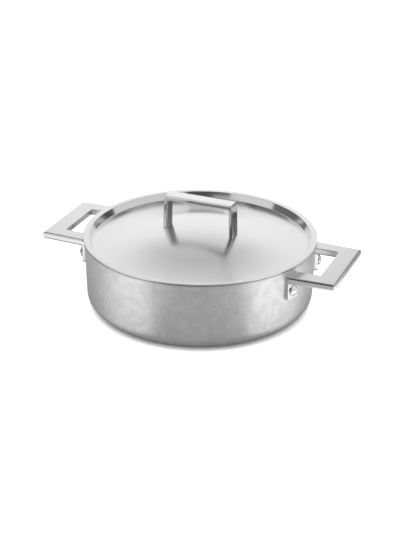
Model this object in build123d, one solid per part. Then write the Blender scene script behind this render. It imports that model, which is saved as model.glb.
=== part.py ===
from build123d import *
from math import asin, atan2, cos, degrees, hypot, radians, sin, tan
import os

os.makedirs("parts", exist_ok=True)

# A low two-handled braiser with its lid on. Millimetres, +Z up. The origin is the
# middle of the base, where it stands. X runs along the side handles and -Y is the front.

# Pot: one sheet of three bonded metals, drawn deep, with a short lip curled outwards
mouth_diameter = 240.0        # across the inside, where the lip starts: the nominal size
rim_height = 76.2             # from the hob to the ground rim that the lid rests on
wall_draft = 1.7              # degrees that the wall leans outwards
corner_radius = 16.5          # outside, between base and wall
skin_thickness = 0.5          # magnetic stainless
core_thickness = 1.6          # aluminium
liner_thickness = 0.4         # stainless
lip_radius = 5.0              # of the lip's curl, outside
lip_angle = 34.0              # degrees that the lip curls outwards
rim_grind = 0.4               # height ground off the sheet's edge, which leaves a flat rim

# Lid: one pressed sheet, with a flat flange, a sunk ring and a low dome
lid_thickness = 1.0
lid_clearance = 1.75          # between the sunk ring and the pot's mouth
flange_overhang = 0.3         # of the lid's edge past the pot's lip
recess_depth = 7.3            # from the flange down to the crease round the dome
recess_draft = 22.6           # degrees that the sunk ring leans inwards
dome_rise = 13.1              # from the crease up to the middle of the dome
crown_share = 0.53            # of the lid's radius that is domed: beyond it the sheet levels out
lid_bend_radius = 0.8         # of the two bends, on the upper side
flange_edge_radius = 0.3

# Lid handle: one forged bridge, welded to the dome by its two feet
bridge_length = 79.0          # across its feet, at the flange's height
bridge_width = 14.8
bridge_height = 39.6          # from the flange to the top of the bar
leg_splay = 1.4               # degrees that the legs lean outwards
leg_thickness = 4.3
bar_thickness = 5.2           # of the part that the hand holds
bridge_corner_radius = 2.6    # outside the two bends
bridge_inner_radius = 2.0     # inside the two bends
bar_edge_radius = 0.8
foot_edge_radius = 0.4
weld_gap = 0.05               # under the feet

# Side handles: open cast frames, with an ear at the end of each arm
handle_projection = 41.3      # from the pot's mouth to the far edge of the grip
handle_width = 94.0           # across the far edge of the grip
arm_taper = 1.8               # degrees that each arm's outer side closes in towards the grip
arm_width = 16.7              # of each arm where it meets the grip
handle_drop = 7.5             # from the rim down to the handle's top face
handle_thickness = 7.9
grip_width = 20.2
handle_corner_radius = 2.2    # outer corners, seen from above
window_corner_radius = 1.5    # inner corners, seen from above
handle_top_radius = 2.2       # along the outer top edges
window_edge_radius = 0.8      # along the top edges inside the frame
handle_under_radius = 3.2     # along the lower edges
ear_width = 17.0
ear_inset = 0.5               # of the ear's sides behind the sides of the arm's end
ear_length = 27.0             # from the handle's top face to the ear's lower end
ear_thickness = 3.2           # at the rivet
ear_corner_radius = 3.0       # lower corners, seen from the side
ear_edge_radius = 1.0
ear_root_radius = 1.8         # between the ear and the underside of the arm
seat_gap = 0.05               # between the ear and the wall

# Rivets: a domed head outside, a flatter formed head inside
rivet_drop = 17.2             # from the handle's top face down to the rivets' axes
rivet_shank_diameter = 6.0
rivet_head_diameter = 11.4
rivet_head_height = 3.8
rivet_head_rim = 1.2          # height of the head's straight side
formed_head_diameter = 11.0
formed_head_height = 1.7      # from the wall inwards
formed_head_rim = 0.4
rivet_clearance = 0.05        # round the shank, and behind the formed head

# The pot's section, worked out from its sizes
wall_thickness = skin_thickness + core_thickness + liner_thickness
mouth_radius = mouth_diameter / 2
lean = radians(wall_draft)
curl = radians(wall_draft + lip_angle)
corner_rise = corner_radius - (corner_radius - wall_thickness) * sin(lean)
lip_rise = (lip_radius + wall_thickness) * (sin(curl) - sin(lean))
lip_start = rim_height + rim_grind - lip_rise
wall_run = (lip_start - corner_rise) / cos(lean)
lip_start_radius = mouth_radius + wall_thickness / cos(lean)
base_radius = lip_start_radius - wall_run * sin(lean) - corner_radius * cos(lean)
lip_reach = lip_start_radius + lip_radius * (cos(lean) - cos(curl))

# The lid's section
lid_top = rim_height + lid_thickness
flange_radius = lip_reach + flange_overhang
ring_radius = mouth_radius - lid_clearance - lid_thickness
crease_radius = ring_radius - recess_depth * tan(radians(recess_draft))
crease_height = lid_top - recess_depth
dome_top = crease_height + dome_rise

# The dome's line is two arcs that touch: a crown, then a hollow margin that ends level
both_radii = (crease_radius ** 2 + dome_rise ** 2) / (2 * dome_rise)
crown_radius = crown_share * both_radii
margin_radius = both_radii - crown_radius
crown_angle = degrees(asin(crease_radius / both_radii))

# Where the handles and rivets sit
handle_reach = lip_start_radius + handle_projection
window_width = handle_width - 2 * arm_width
window_reach = handle_reach - grip_width
handle_top = rim_height - handle_drop
handle_under = handle_top - handle_thickness
rivet_height = handle_top - rivet_drop
taper = tan(radians(arm_taper))
arm_spread = handle_width / 2 + handle_reach * taper
rivet_wall = lip_start_radius - (lip_start - rivet_height) * tan(lean)
ear_face = rivet_wall + seat_gap + ear_thickness

# The ears turn out from the X axis until the corner of each arm's end lies on its outer side
arm_end = ear_width / 2 + ear_inset
along = ear_face - arm_end * taper
across = arm_end + ear_face * taper
rivet_turn = degrees(asin(arm_spread / hypot(along, across)) - atan2(across, along))

STANDING = (Align.CENTER, Align.CENTER, Align.MIN)


def pot_line(depth):
    """The pot's section from the middle of the base to the rim, at a depth in the sheet."""
    base = Line((0, depth), (base_radius, depth))
    corner = JernArc(base @ 1, base % 1, corner_radius - depth, 90 - wall_draft)
    wall = Line(corner @ 1, corner @ 1 + (corner % 1) * wall_run)
    lip = JernArc(wall @ 1, wall % 1, lip_radius + depth, -lip_angle)
    return Wire([base, corner, wall, lip])


def pot_layer(outer_depth, inner_depth):
    """What lies between two depths in the pot's sheet, with its edge ground flat at the rim."""
    outside = pot_line(outer_depth)
    inside = pot_line(inner_depth)
    edges = [outside, Line(outside @ 1, inside @ 1), inside, Line(inside @ 0, outside @ 0)]
    layer = revolve(Plane.XZ * make_face(edges), Axis.Z)
    ground_off = Pos(0, 0, rim_height) * Cylinder(flange_radius, rim_height, align=STANDING)
    return layer - ground_off


def pot_block(gap):
    """The pot's outside as a solid block, grown by a gap, to fit other pieces to its wall."""
    outside = pot_line(-gap)
    rim = outside @ 1
    edges = [outside, Line(rim, (0, rim.Y)), Line((0, rim.Y), outside @ 0)]
    return revolve(Plane.XZ * make_face(edges), Axis.Z)


def along_rivet(turn):
    """Lays what stands on the pot's axis down along one rivet, pointing out at its height."""
    return Pos(0, 0, rivet_height) * Rot(0, 0, turn) * Rot(0, 90, 0)


def rivet_holes():
    """The drills for both rivets of both handles, out from the pot's axis."""
    drill = Cylinder(rivet_shank_diameter / 2 + rivet_clearance, handle_reach, align=STANDING)
    turns = [side + turn for side in (0, 180) for turn in (-rivet_turn, rivet_turn)]
    return [along_rivet(turn) * drill for turn in turns]


def make_outer_skin():
    """Magnetic stainless: the pot's whole outside, and what stands on the hob."""
    return pot_layer(0, skin_thickness) - rivet_holes()


def make_heat_core():
    """Aluminium between the two stainless skins. Its edge shows in the ground rim."""
    return pot_layer(skin_thickness, skin_thickness + core_thickness) - rivet_holes()


def make_inner_liner():
    """Stainless cooking surface."""
    return pot_layer(skin_thickness + core_thickness, wall_thickness) - rivet_holes()


def make_lid_shell():
    """The lid's sheet. Its upper side is one bent line, and its thickness goes below it."""
    crown = JernArc((0, dome_top), (1, 0), crown_radius, -crown_angle)
    margin = JernArc(crown @ 1, crown % 1, margin_radius, crown_angle)
    ring = Line(margin @ 1, (ring_radius, lid_top))
    flange = Line(ring @ 1, (flange_radius, lid_top))
    upper_side = Wire([crown, margin, ring, flange])
    bends = upper_side.vertices().sort_by(Axis.X)[2:4]
    upper_side = upper_side.fillet_2d(lid_bend_radius, bends)
    section = make_face(offset(upper_side, lid_thickness, side=Side.RIGHT).edges())
    flange_edge = section.vertices().sort_by(Axis.X)[-2:]
    section = fillet(flange_edge, flange_edge_radius)
    return revolve(Plane.XZ * section, Axis.Z)


def make_lid_handle():
    """The bridge's outline, as wide as the bar, with its feet ground to fit the dome."""
    splay = tan(radians(leg_splay))
    under_bar = bridge_height - bar_thickness
    foot_outside = bridge_length / 2
    foot_inside = foot_outside - leg_thickness
    top_outside = foot_outside - bridge_height * splay
    top_inside = foot_inside - under_bar * splay
    outline = make_face(
        Polyline(
            (foot_outside, 0),
            (top_outside, bridge_height),
            (-top_outside, bridge_height),
            (-foot_outside, 0),
            (-foot_inside, 0),
            (-top_inside, under_bar),
            (top_inside, under_bar),
            (foot_inside, 0),
            close=True,
        )
    )
    outline = fillet(outline.vertices().group_by(Axis.Y)[1], bridge_inner_radius)
    outline = fillet(outline.vertices().group_by(Axis.Y)[-1], bridge_corner_radius)
    bridge = extrude(Plane.XZ * Pos(0, lid_top) * outline, bridge_width / 2, both=True)
    long_edges = [
        edge
        for side in bridge.faces().filter_by(Axis.Y)
        for edge in side.edges()
        if edge.center().Z > lid_top
    ]
    bridge = fillet(long_edges, bar_edge_radius)
    crown = Pos(0, 0, dome_top - crown_radius) * Sphere(crown_radius + weld_gap)
    bridge -= crown
    foot_edges = [
        edge for foot in bridge.faces().filter_by(GeomType.SPHERE) for edge in foot.edges()
    ]
    return fillet(foot_edges, foot_edge_radius)


def make_handle_frame():
    """The flat open frame. Beside each ear, the arm's end turns to run square into the wall."""
    plan = make_face(
        Polyline(
            (0, -arm_spread),
            (handle_reach, -handle_width / 2),
            (handle_reach, handle_width / 2),
            (0, arm_spread),
            close=True,
        )
    )
    plan = fillet(plan.vertices().group_by(Axis.X)[-1], handle_corner_radius)
    window = Pos(window_reach / 2, 0) * Rectangle(window_reach, window_width)
    window = fillet(window.vertices().group_by(Axis.X)[-1], window_corner_radius)
    frame = extrude(Pos(0, 0, handle_under) * (plan - window), handle_thickness)
    under_edges = frame.faces().sort_by(Axis.Z)[0].edges()
    rounded = [edge for edge in under_edges if edge.center().X > 0]
    frame = fillet(rounded, handle_under_radius)
    beside_ear = Pos(0, arm_end, handle_under) * Box(
        ear_face, handle_width, handle_thickness, align=Align.MIN
    )
    beside_ear = Rot(0, 0, rivet_turn) * beside_ear
    return frame - beside_ear - mirror(beside_ear, Plane.XZ)


def make_ear():
    """The ear of the rear right arm, flat outside for the rivet, before it is fitted inside."""
    inside = mouth_radius / 2
    blank = Pos(inside, 0, handle_top - ear_length) * Box(
        ear_face - inside, ear_width, ear_length, align=(Align.MIN, Align.CENTER, Align.MIN)
    )
    blank = fillet(blank.edges().filter_by(Axis.X).group_by(Axis.Z)[0], ear_corner_radius)
    outer_edges = blank.faces().sort_by(Axis.X)[-1].edges()
    blank = fillet(outer_edges.sort_by(Axis.Z)[:-1], ear_edge_radius)
    return Rot(0, 0, rivet_turn) * blank


def window_edges(top):
    """Those edges of the handle's top face that run round its window."""
    half_width = window_width / 2 + seat_gap
    beside = top.edges().filter_by_position(Axis.Y, -half_width, half_width)
    return beside.filter_by_position(Axis.X, 0, window_reach + seat_gap)


def make_right_handle():
    """Frame and both ears as one casting, fitted to the wall, then rounded at roots and top."""
    ear = make_ear()
    handle = make_handle_frame() + ear + mirror(ear, Plane.XZ) - pot_block(seat_gap)
    under_lines = handle.edges().filter_by(GeomType.LINE).filter_by_position(
        Axis.Z, handle_under - seat_gap, handle_under + seat_gap
    )
    handle = fillet(under_lines.sort_by(Axis.X)[:2], ear_root_radius)
    top = handle.faces().filter_by(Axis.Z).sort_by(Axis.Z)[-1]
    wall_seams = top.edges().filter_by(GeomType.CIRCLE).sort_by(SortBy.RADIUS)[-2:]
    handle = fillet(top.edges() - window_edges(top) - wall_seams, handle_top_radius)
    top = handle.faces().filter_by(Axis.Z).sort_by(Axis.Z)[-1]
    handle = fillet(window_edges(top), window_edge_radius)
    return handle - rivet_holes()


def rivet_head(diameter, height, rim):
    """A round head standing on its flat side, with a straight rim under its dome."""
    rise = height - rim
    dome_radius = ((diameter / 2) ** 2 + rise ** 2) / (2 * rise)
    dome = Pos(0, 0, height - dome_radius) * Sphere(dome_radius)
    return Cylinder(diameter / 2, height, align=STANDING) & dome


def make_rivet(turn):
    """A domed head on the ear, a shank through the wall, and a formed head fitted inside."""
    wall_face = rivet_wall - wall_thickness
    head = Pos(0, 0, ear_face) * rivet_head(
        rivet_head_diameter, rivet_head_height, rivet_head_rim
    )
    shank = Pos(0, 0, wall_face) * Cylinder(
        rivet_shank_diameter / 2, ear_face - wall_face, align=STANDING
    )
    formed_height = formed_head_height + wall_thickness / 2
    formed = rivet_head(formed_head_diameter, formed_height, formed_head_rim)
    formed = Pos(0, 0, rivet_wall - wall_thickness / 2) * Rot(180, 0, 0) * formed
    formed = along_rivet(turn) * formed - pot_layer(0, wall_thickness + rivet_clearance)
    return along_rivet(turn) * (head + shank) + formed


right_handle = make_right_handle()

pieces = {
    "pot_outer_skin": make_outer_skin(),
    "pot_heat_core": make_heat_core(),
    "pot_inner_liner": make_inner_liner(),
    "lid_shell": make_lid_shell(),
    "lid_handle": make_lid_handle(),
    "right_handle": right_handle,
    "left_handle": mirror(right_handle, Plane.YZ),
    "rivet_right_front": make_rivet(-rivet_turn),
    "rivet_right_rear": make_rivet(rivet_turn),
    "rivet_left_rear": make_rivet(180 - rivet_turn),
    "rivet_left_front": make_rivet(180 + rivet_turn),
}

for name, piece in pieces.items():
    piece.label = name
    export_step(piece, f"parts/{name}.step")
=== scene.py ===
"""A low stainless braiser with its lid on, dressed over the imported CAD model.

Metres, +Z up, in the CAD model's frame: X runs along the side handles and -Y is the front.
The object is the CAD nodes alone, each with its own finish. All of it is bare metal, which
shows what it mirrors, so the studio is mostly cards that glow far round the pot and on the
floor beside it.
"""

import math

import bpy
from mathutils import Matrix, Vector


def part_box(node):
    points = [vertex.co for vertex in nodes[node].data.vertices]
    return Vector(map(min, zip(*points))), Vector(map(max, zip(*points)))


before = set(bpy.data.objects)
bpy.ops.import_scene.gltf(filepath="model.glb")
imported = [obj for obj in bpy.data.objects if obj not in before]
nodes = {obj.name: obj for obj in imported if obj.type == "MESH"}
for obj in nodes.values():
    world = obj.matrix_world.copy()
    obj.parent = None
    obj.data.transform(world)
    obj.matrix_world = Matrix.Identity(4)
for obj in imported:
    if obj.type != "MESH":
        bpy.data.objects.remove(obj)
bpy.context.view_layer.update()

MM = 0.001

# The lid's finish changes at the two bends of its sheet, found inwards from its edge
LID_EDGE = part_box("lid_shell")[1][0]
FLANGE_BEND = LID_EDGE - 6.34 * MM      # between the flat flange and the sunk ring
DOME_BEND = FLANGE_BEND - 3.2 * MM      # between the sunk ring and the dome


def linear(hex_colour):
    """An sRGB hex colour as the linear RGBA that shaders take."""
    channels = [int(hex_colour[i : i + 2], 16) / 255 for i in (1, 3, 5)]
    return [c / 12.92 if c <= 0.04045 else ((c + 0.055) / 1.055) ** 2.4 for c in channels] + [1]


def per_metre(size_mm):
    """The scale at which a noise has features of this size in millimetres."""
    return 1 / (size_mm * MM)


def set_inputs(node, **inputs):
    """Sets or links a node's inputs, each by its name, or by its number after an underscore."""
    for name, value in inputs.items():
        key = int(name[1:]) if name[0] == "_" else name.replace("_", " ")
        if isinstance(value, bpy.types.NodeSocket):
            node.id_data.links.new(value, node.inputs[key])
        else:
            node.inputs[key].default_value = value


def add_node(tree, kind, settings=None, **inputs):
    """Adds a node with its settings, and sets or links its inputs."""
    node = tree.nodes.new(kind)
    for name, value in (settings or {}).items():
        setattr(node, name, value)
    set_inputs(node, **inputs)
    return node


def new_material(name):
    """A plain material, with its tree and its shader."""
    material = bpy.data.materials.new(name)
    material.use_nodes = True
    tree = material.node_tree
    return material, tree, tree.nodes["Principled BSDF"]


def new_metal(name):
    """A bare metal, with its tree and its shader."""
    material, tree, shader = new_material(name)
    set_inputs(shader, Metallic=1)
    return material, tree, shader


def out_from_axis(tree, place):
    """How far each point is from the pot's axis."""
    flat = add_node(tree, "ShaderNodeVectorMath", {"operation": "MULTIPLY"}, _0=place, _1=(1, 1, 0))
    reach = add_node(tree, "ShaderNodeVectorMath", {"operation": "LENGTH"}, _0=flat.outputs[0])
    return reach.outputs["Value"]


def stone_washed_stainless():
    """Stainless tumbled with stones: a satin wall, clouded in patches about 9 mm across.

    The tiny dents over them are drawn 2.4 mm wide, coarser than the real ones, so they show.
    """
    material, tree, shader = new_metal("stone_washed_stainless")
    place = add_node(tree, "ShaderNodeTexCoord").outputs["Object"]
    clouds = add_node(
        tree, "ShaderNodeTexNoise", Vector=place, Scale=per_metre(9), Detail=4, Roughness=0.6
    )
    dents = add_node(
        tree,
        "ShaderNodeTexNoise",
        Vector=place,
        Scale=per_metre(2.4),
        Detail=3,
        Roughness=0.7,
        Distortion=1.5,
    )
    patches = add_node(
        tree,
        "ShaderNodeMath",
        {"operation": "MULTIPLY_ADD"},
        _0=dents.outputs["Fac"],
        _1=0.6,
        _2=clouds.outputs["Fac"],
    )
    spread = add_node(
        tree, "ShaderNodeMapRange", Value=patches.outputs[0], From_Min=0.66, From_Max=0.94
    )
    grey = add_node(
        tree,
        "ShaderNodeMix",
        {"data_type": "RGBA"},
        _0=spread.outputs[0],
        _6=linear("#cfcfcf"),
        _7=linear("#d9d9d9"),
    )
    roughness = add_node(
        tree, "ShaderNodeMapRange", Value=spread.outputs[0], To_Min=0.48, To_Max=0.42
    )
    bump = add_node(
        tree, "ShaderNodeBump", Height=dents.outputs["Fac"], Strength=0.5, Distance=0.05 * MM
    )
    set_inputs(
        shader,
        Base_Color=grey.outputs[2],
        Roughness=roughness.outputs[0],
        Normal=bump.outputs[0],
    )
    return material


def lid_stainless():
    """Brushed across the dome, which blurs what it mirrors, and polished bright in the ring.

    The flange is left satin. The strokes are drawn 0.9 mm wide, coarser than the real ones, so
    they show.
    """
    dome_roughness = 0.21
    ring_roughness = 0.12
    flange_roughness = 0.25
    material, tree, shader = new_metal("brushed_and_polished_lid")
    place = add_node(tree, "ShaderNodeTexCoord").outputs["Object"]
    reach = out_from_axis(tree, place)
    dome_to_ring = add_node(
        tree,
        "ShaderNodeMapRange",
        Value=reach,
        From_Min=DOME_BEND - 0.6 * MM,
        From_Max=DOME_BEND + 0.6 * MM,
        To_Min=dome_roughness,
        To_Max=ring_roughness,
    )
    ring_to_flange = add_node(
        tree,
        "ShaderNodeMapRange",
        Value=reach,
        From_Min=FLANGE_BEND - 0.4 * MM,
        From_Max=FLANGE_BEND + 0.4 * MM,
        To_Min=0,
        To_Max=flange_roughness - ring_roughness,
    )
    roughness = add_node(
        tree, "ShaderNodeMath", _0=dome_to_ring.outputs[0], _1=ring_to_flange.outputs[0]
    )
    along_x = add_node(
        tree, "ShaderNodeVectorMath", {"operation": "MULTIPLY"}, _0=place, _1=(0.04, 1, 1)
    )
    brushing = add_node(
        tree, "ShaderNodeTexNoise", Vector=along_x.outputs[0], Scale=per_metre(0.9), Detail=2
    )
    scratches = add_node(
        tree, "ShaderNodeBump", Height=brushing.outputs["Fac"], Strength=0.12, Distance=0.02 * MM
    )
    set_inputs(
        shader,
        Base_Color=linear("#dedede"),
        Roughness=roughness.outputs[0],
        Normal=scratches.outputs[0],
    )
    return material


def polished_bar():
    """Mirror-polished flat bar: bright faces with dark lines where its edges turn.

    Buffing has softened its edges a little past the forging's own radius.
    """
    material, tree, shader = new_metal("mirror_polished_bar")
    buffed_edges = add_node(tree, "ShaderNodeBevel", {"samples": 8}, Radius=1.3 * MM)
    set_inputs(
        shader, Base_Color=linear("#e2e2e2"), Roughness=0.03, Normal=buffed_edges.outputs[0]
    )
    return material


def cast_handle_stainless():
    """A casting polished on its sides and satin on top, where hands rub it."""
    material, tree, shader = new_metal("polished_casting")
    facing = add_node(tree, "ShaderNodeNewGeometry").outputs["Normal"]
    upwards = add_node(tree, "ShaderNodeSeparateXYZ", _0=facing).outputs["Z"]
    roughness = add_node(
        tree,
        "ShaderNodeMapRange",
        Value=upwards,
        From_Min=0.9,
        From_Max=0.99,
        To_Min=0.12,
        To_Max=0.3,
    )
    set_inputs(shader, Base_Color=linear("#dcdcdc"), Roughness=roughness.outputs[0])
    return material


def rivet_stainless():
    """Headed in a polished die, so each head is a small bright dome."""
    material, tree, shader = new_metal("polished_rivet")
    set_inputs(shader, Base_Color=linear("#dcdcdc"), Roughness=0.13)
    return material


def liner_stainless():
    """Brushed while the pot turns, which leaves fine grooves round the cooking surface.

    They are drawn 0.8 mm apart, coarser than the real ones, so they show.
    """
    material, tree, shader = new_metal("turned_satin_liner")
    place = add_node(tree, "ShaderNodeTexCoord").outputs["Object"]
    height = add_node(tree, "ShaderNodeSeparateXYZ", _0=place).outputs["Z"]
    rings = add_node(tree, "ShaderNodeCombineXYZ", _0=out_from_axis(tree, place), _1=height)
    turning = add_node(
        tree, "ShaderNodeTexNoise", Vector=rings.outputs[0], Scale=per_metre(0.8), Detail=2
    )
    grooves = add_node(
        tree, "ShaderNodeBump", Height=turning.outputs["Fac"], Strength=0.2, Distance=0.03 * MM
    )
    set_inputs(shader, Base_Color=linear("#c4c4c4"), Roughness=0.3, Normal=grooves.outputs[0])
    return material


def ground_aluminium():
    """The core's edge, ground with the rim: duller and a little darker than the steel."""
    material, tree, shader = new_metal("ground_aluminium")
    set_inputs(shader, Base_Color=linear("#b4b4b6"), Roughness=0.4)
    return material


def dress(names, material):
    """Gives these CAD nodes this finish."""
    for name in names:
        slots = nodes[name].data.materials
        slots.clear()
        slots.append(material)


dress(["pot_outer_skin"], stone_washed_stainless())
dress(["pot_heat_core"], ground_aluminium())
dress(["pot_inner_liner"], liner_stainless())
dress(["lid_shell"], lid_stainless())
dress(["lid_handle"], polished_bar())
dress(["left_handle", "right_handle"], cast_handle_stainless())
dress([name for name in nodes if name.startswith("rivet_")], rivet_stainless())


# The camera, where the photograph was taken from
CAMERA_PLACE = Vector((480.0, -1160.17, 636.69)) * MM
LOOKS_AT = Vector((2.05, 0.84, 34.07)) * MM
CAMERA_ROLL = math.radians(0.45)
VIEW_TURN = math.atan2(CAMERA_PLACE.x, -CAMERA_PLACE.y)     # from the front round to the right

camera_data = bpy.data.cameras.new("camera")
camera_data.lens = 86.6865
camera_data.sensor_width = 36
camera_data.clip_start = 0.05
camera_data.clip_end = 60
camera = bpy.data.objects.new("camera", camera_data)
bpy.context.scene.collection.objects.link(camera)
bpy.context.scene.camera = camera
aim = (LOOKS_AT - CAMERA_PLACE).to_track_quat("-Z", "Y").to_matrix().to_4x4()
camera.matrix_world = Matrix.Translation(CAMERA_PLACE) @ aim @ Matrix.Rotation(CAMERA_ROLL, 4, "Z")


def stage_mesh(name, points, faces, material):
    """A sheet of the stage, which isn't part of the object."""
    mesh = bpy.data.meshes.new(name)
    mesh.from_pydata(points, [], faces)
    mesh.materials.append(material)
    sheet = bpy.data.objects.new(name, mesh)
    bpy.context.scene.collection.objects.link(sheet)
    return sheet


def floor_paper():
    """White seamless paper, which burns out around the pot and keeps the shade close under it.

    What burns it out is a glow for the camera alone. It weakens where the pot stands close over it,
    so the shade under the pot is partly real shadow and partly painted shade.
    The steel mirrors it as a plain grey.
    """
    material, tree, shader = new_material("white_paper")
    ray = add_node(tree, "ShaderNodeLightPath").outputs
    paper = add_node(
        tree,
        "ShaderNodeMix",
        {"data_type": "RGBA"},
        _0=ray["Is Glossy Ray"],
        _6=linear("#fcfcfc"),
        _7=linear("#bababa"),
    )
    # Painted shade: the camera's glow fades with ambient occlusion close under the pot
    openness = add_node(tree, "ShaderNodeAmbientOcclusion", Distance=30 * MM)
    glow_with_painted_shade = add_node(
        tree,
        "ShaderNodeMapRange",
        Value=openness.outputs["AO"],
        From_Min=0.22,
        From_Max=0.62,
        To_Min=0.1,
        To_Max=0.65,
    )
    camera_glow_with_painted_shade = add_node(
        tree,
        "ShaderNodeMath",
        {"operation": "MULTIPLY"},
        _0=ray["Is Camera Ray"],
        _1=glow_with_painted_shade.outputs[0],
    )
    set_inputs(
        shader,
        Base_Color=paper.outputs[2],
        Roughness=1,
        Specular_IOR_Level=0,
        Emission_Color=linear("#ffffff"),
        Emission_Strength=camera_glow_with_painted_shade.outputs[0],
    )
    return material


FLOOR_REACH = 9
floor_corners = [(-1, -1), (1, -1), (1, 1), (-1, 1)]
stage_mesh(
    "floor",
    [(x * FLOOR_REACH, y * FLOOR_REACH, 0) for x, y in floor_corners],
    [(0, 1, 2, 3)],
    floor_paper(),
)

# A wide lamp over the paper, which the steel doesn't mirror
LAMP_SIZE = 1.6
LAMP_HEIGHT = 1.8
LAMP_LEVEL = 0.9
lamp = bpy.data.lights.new("overhead", "AREA")
lamp.size = LAMP_SIZE
lamp.energy = LAMP_LEVEL * math.pi * LAMP_SIZE**2
overhead = bpy.data.objects.new("overhead", lamp)
bpy.context.scene.collection.objects.link(overhead)
overhead.location = (0, 0, LAMP_HEIGHT)
overhead.visible_camera = False
overhead.visible_glossy = False
overhead.visible_transmission = False


def lit_card():
    """Card that glows as brightly as its mesh says at each point."""
    material, tree, shader = new_material("lit_card")
    tree.nodes.remove(shader)
    glow = add_node(tree, "ShaderNodeAttribute", {"attribute_name": "glow"})
    light = add_node(tree, "ShaderNodeEmission", Strength=glow.outputs["Fac"])
    set_inputs(tree.nodes["Material Output"], Surface=light.outputs[0])
    return material


lit = lit_card()
CARD_DISTANCE = 0.6
CARD_CENTRE = Vector((0, 0, 75)) * MM       # at the lid's height
CARD_STEPS = 12
CARD_LIFT = 1                               # millimetres that a floor card lies off the paper


def mirrored_card(name, points, faces, glows):
    """A card that shows in the steel alone: it lights nothing and casts no shadow."""
    card = stage_mesh(name, points, faces, lit)
    card.data.attributes.new("glow", "FLOAT", "POINT").data.foreach_set("value", glows)
    card.visible_camera = False
    card.visible_diffuse = False
    card.visible_shadow = False
    card.visible_transmission = False


def between(ends, share):
    """The value at this share of the way between two ends."""
    return ends[0] + share * (ends[1] - ends[0])


def studio_card(name, bearings, rises, glows):
    """A curved card far round the pot.

    It reaches between two bearings, in degrees round from the camera's side to the right, and
    between two rises above the floor, and glows this brightly along its lower and upper edges.
    """
    points = []
    point_glows = []
    for row in range(CARD_STEPS + 1):
        share = row / CARD_STEPS
        rise = math.radians(between(rises, share))
        for column in range(CARD_STEPS + 1):
            turn = VIEW_TURN + math.radians(between(bearings, column / CARD_STEPS))
            out = Vector((math.sin(turn), -math.cos(turn), math.tan(rise)))
            points.append(CARD_CENTRE + out.normalized() * CARD_DISTANCE)
            point_glows.append(between(glows, share))
    across = CARD_STEPS + 1
    starts = [row * across + column for row in range(CARD_STEPS) for column in range(CARD_STEPS)]
    faces = [(start, start + 1, start + across + 1, start + across) for start in starts]
    mirrored_card(name, points, faces, point_glows)


# Behind the pot: the dome mirrors the low cards at its back and the high ones at its front
studio_card("sweep_low", (150, 210), (-6, 27), (1.16, 1.1))
studio_card("sweep_middle", (150, 210), (27, 38), (1.1, 0.84))
studio_card("sweep_high", (150, 210), (38, 46), (0.84, 0.72))
studio_card("sweep_top", (150, 210), (46, 66), (0.72, 0.58))

# At both sides and overhead, with a gap at the camera that shows dark at the back of the ring
studio_card("left_wall", (-90, -36), (-6, 66), (0.9, 0.75))
studio_card("right_wall", (18, 110), (-6, 66), (0.85, 0.7))
studio_card("right_corner", (110, 126), (12, 60), (0.85, 0.7))
studio_card("ceiling", (0, 360), (69, 89), (0.4, 0.4))

# Dim cards, which the ring mirrors as its two dark patches
studio_card("left_side", (-150, -92), (-6, 60), (0.14, 0.26))
studio_card("right_side", (126, 150), (-6, 60), (0.16, 0.26))


def floor_card(name, inner, outer):
    """A card flat on the floor between two rows, which the wall mirrors as a bright lobe.

    A row is its front end and its side end. Each end is its place in millimetres, to the right
    of the pot's axis and away from the camera, and then its glow.
    """
    corners = [inner[0], outer[0], outer[1], inner[1]]
    turn = Matrix.Rotation(VIEW_TURN, 3, "Z")
    points = [turn @ Vector((x, y, CARD_LIFT)) * MM for x, y, glow in corners]
    mirrored_card(name, points, [(0, 1, 2, 3)], [glow for x, y, glow in corners])


FLOOR_ROWS = {
    "left": [
        [(-60, -120, 0.8), (-112, -66, 0.6)],
        [(-142, -194, 1.65), (-222, -27, 0.85)],
        [(-346, -378, 1.65), (-478, 53, 0.8)],
    ],
    "right": [
        [(60, -120, 0.9), (125, -50, 0.2)],
        [(142, -194, 1.75), (228, 21, 0.95)],
        [(346, -378, 1.75), (438, 167, 1.3)],
    ],
}
for side, (inner_row, middle_row, outer_row) in FLOOR_ROWS.items():
    floor_card(f"{side}_near_card", inner_row, middle_row)
    floor_card(f"{side}_far_card", middle_row, outer_row)

AIR = 1.0               # white, where the camera looks past the paper
AIR_IN_STEEL = 0.08     # between the cards


def studio_air():
    """Even white light for the paper, which the steel mirrors as nearly dark."""
    world = bpy.data.worlds.new("studio_air")
    world.use_nodes = True
    bpy.context.scene.world = world
    tree = world.node_tree
    ray = add_node(tree, "ShaderNodeLightPath").outputs
    strength = add_node(
        tree,
        "ShaderNodeMath",
        {"operation": "MULTIPLY_ADD"},
        _0=ray["Is Glossy Ray"],
        _1=AIR_IN_STEEL - AIR,
        _2=AIR,
    )
    set_inputs(tree.nodes["Background"], Color=linear("#ffffff"), Strength=strength.outputs[0])


studio_air()
bpy.context.scene.view_settings.view_transform = "Standard"
